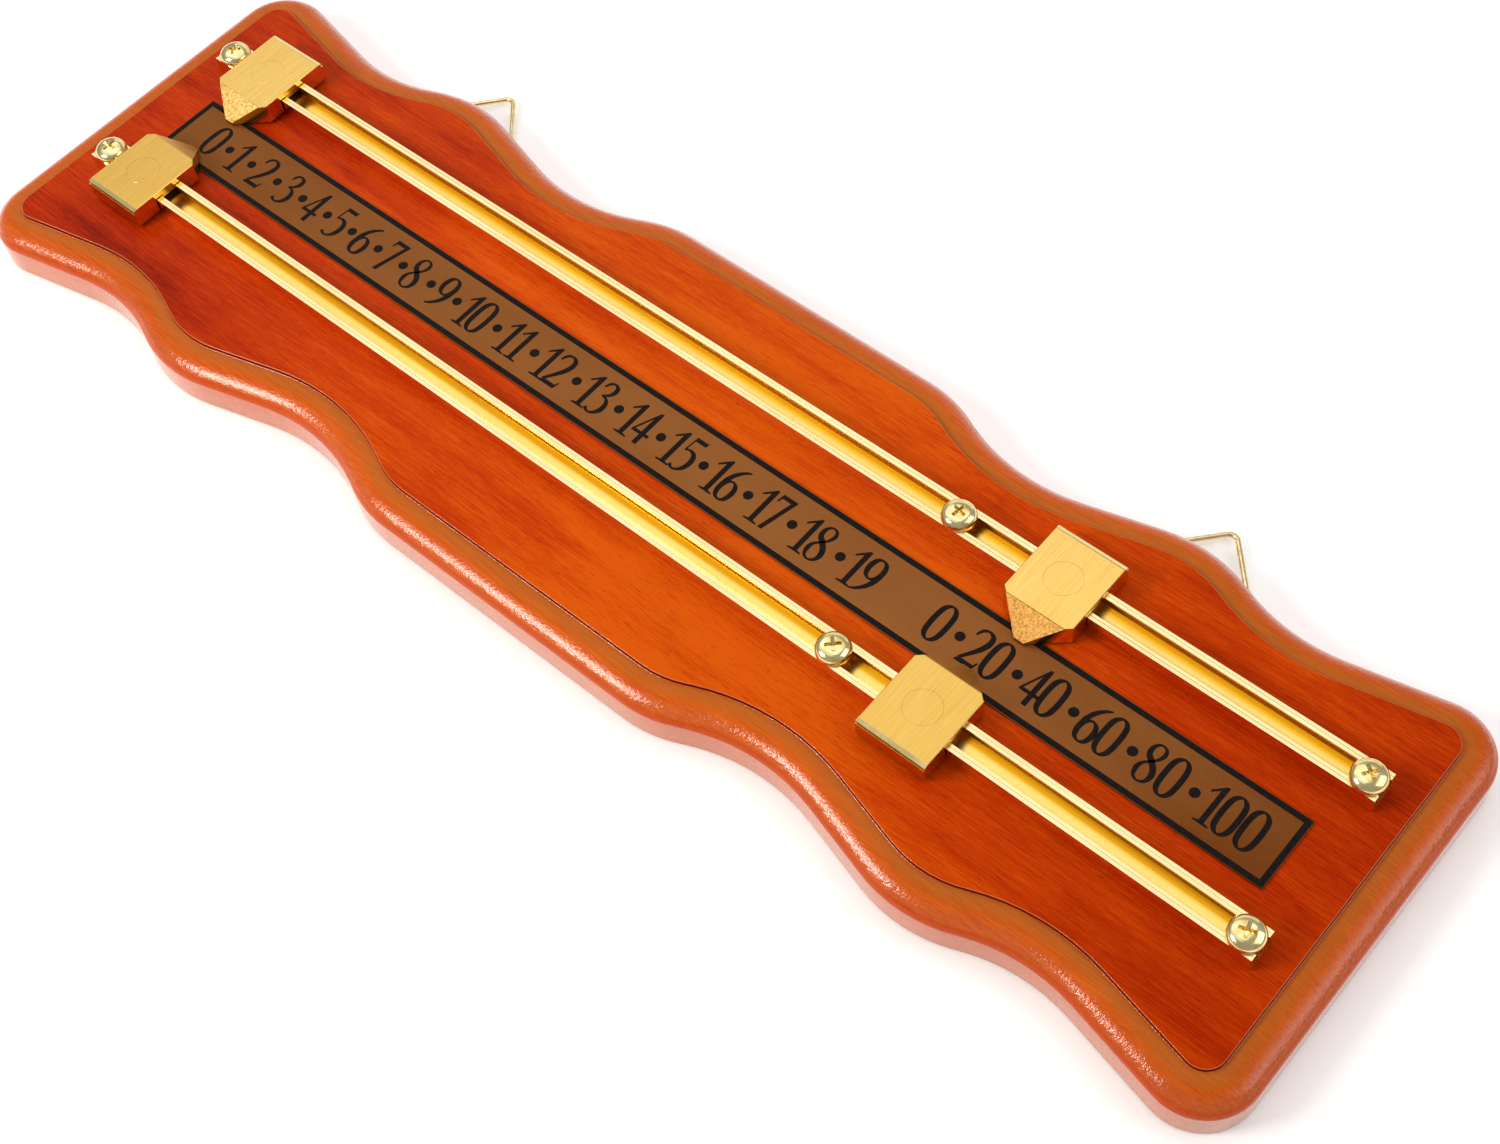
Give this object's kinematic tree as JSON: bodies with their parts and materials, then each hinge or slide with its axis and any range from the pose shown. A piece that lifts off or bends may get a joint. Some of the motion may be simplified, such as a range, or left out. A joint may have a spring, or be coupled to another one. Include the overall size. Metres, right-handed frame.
{
  "type": "snooker scoreboard",
  "caption": "Wall scoreboard of lacquered wood with wavy long sides, a printed number strip, brass channel rails and brass pointers that slide along them, and wire hanging loops.",
  "frame": {"origin": "middle of the board's flat back face", "axes": "+X reads along the numbers, +Y is the top edge with the hanging loops, +Z comes out of the face"},
  "size_m": [0.5172, 0.1631, 0.0276],
  "materials": {
    "lacquered_wood": "glossy",
    "printed_strip": "satin",
    "rail_brass": "polished",
    "pointer_brass": "brushed",
    "shoe_brass": "plain",
    "spring_steel": "plain",
    "screw_brass": "polished",
    "hanger_brass": "plain"
  },
  "bodies": {
    "board": {"backboard": "lacquered_wood", "number_strip": "printed_strip", "upper_rail": "rail_brass", "upper_rail_screw_left_end": "screw_brass", "upper_rail_screw_middle": "screw_brass", "upper_rail_screw_right_end": "screw_brass", "lower_rail": "rail_brass", "lower_rail_screw_left_end": "screw_brass", "lower_rail_screw_middle": "screw_brass", "lower_rail_screw_right_end": "screw_brass", "left_hanger_strap": "hanger_brass", "left_hanger_screw": "screw_brass", "right_hanger_strap": "hanger_brass", "right_hanger_screw": "screw_brass"},
    "upper_units_pointer": {"upper_units_pointer_block": "pointer_brass", "upper_units_pointer_plug": "pointer_brass", "upper_units_pointer_shoe": "shoe_brass", "upper_units_pointer_spring": "spring_steel"},
    "lower_units_pointer": {"lower_units_pointer_block": "pointer_brass", "lower_units_pointer_plug": "pointer_brass", "lower_units_pointer_shoe": "shoe_brass", "lower_units_pointer_spring": "spring_steel"},
    "upper_twenties_pointer": {"upper_twenties_pointer_block": "pointer_brass", "upper_twenties_pointer_plug": "pointer_brass", "upper_twenties_pointer_shoe": "shoe_brass", "upper_twenties_pointer_spring": "spring_steel"},
    "lower_twenties_pointer": {"lower_twenties_pointer_block": "pointer_brass", "lower_twenties_pointer_plug": "pointer_brass", "lower_twenties_pointer_shoe": "shoe_brass", "lower_twenties_pointer_spring": "spring_steel"},
    "left_loop": {"left_hanging_loop": "hanger_brass"},
    "right_loop": {"right_hanging_loop": "hanger_brass"}
  },
  "joints": [
    {"name": "upper_units_slide", "type": "slide", "parent": "board", "child": "upper_units_pointer", "axis": [1, 0, 0], "range_m": [0, 0.291]},
    {"name": "lower_units_slide", "type": "slide", "parent": "board", "child": "lower_units_pointer", "axis": [1, 0, 0], "range_m": [0, 0.291]},
    {"name": "upper_twenties_slide", "type": "slide", "parent": "board", "child": "upper_twenties_pointer", "axis": [1, 0, 0], "range_m": [-0.0198, 0.0832]},
    {"name": "lower_twenties_slide", "type": "slide", "parent": "board", "child": "lower_twenties_pointer", "axis": [1, 0, 0], "range_m": [-0.0143, 0.0887]},
    {"name": "left_loop_hinge", "type": "hinge", "parent": "board", "child": "left_loop", "pos_m": [-0.155, 0.0685, 0.0022], "axis": [-1, 0, 0], "range_deg": [0, 95]},
    {"name": "right_loop_hinge", "type": "hinge", "parent": "board", "child": "right_loop", "pos_m": [0.155, 0.0685, 0.0022], "axis": [-1, 0, 0], "range_deg": [0, 95]}
  ]
}
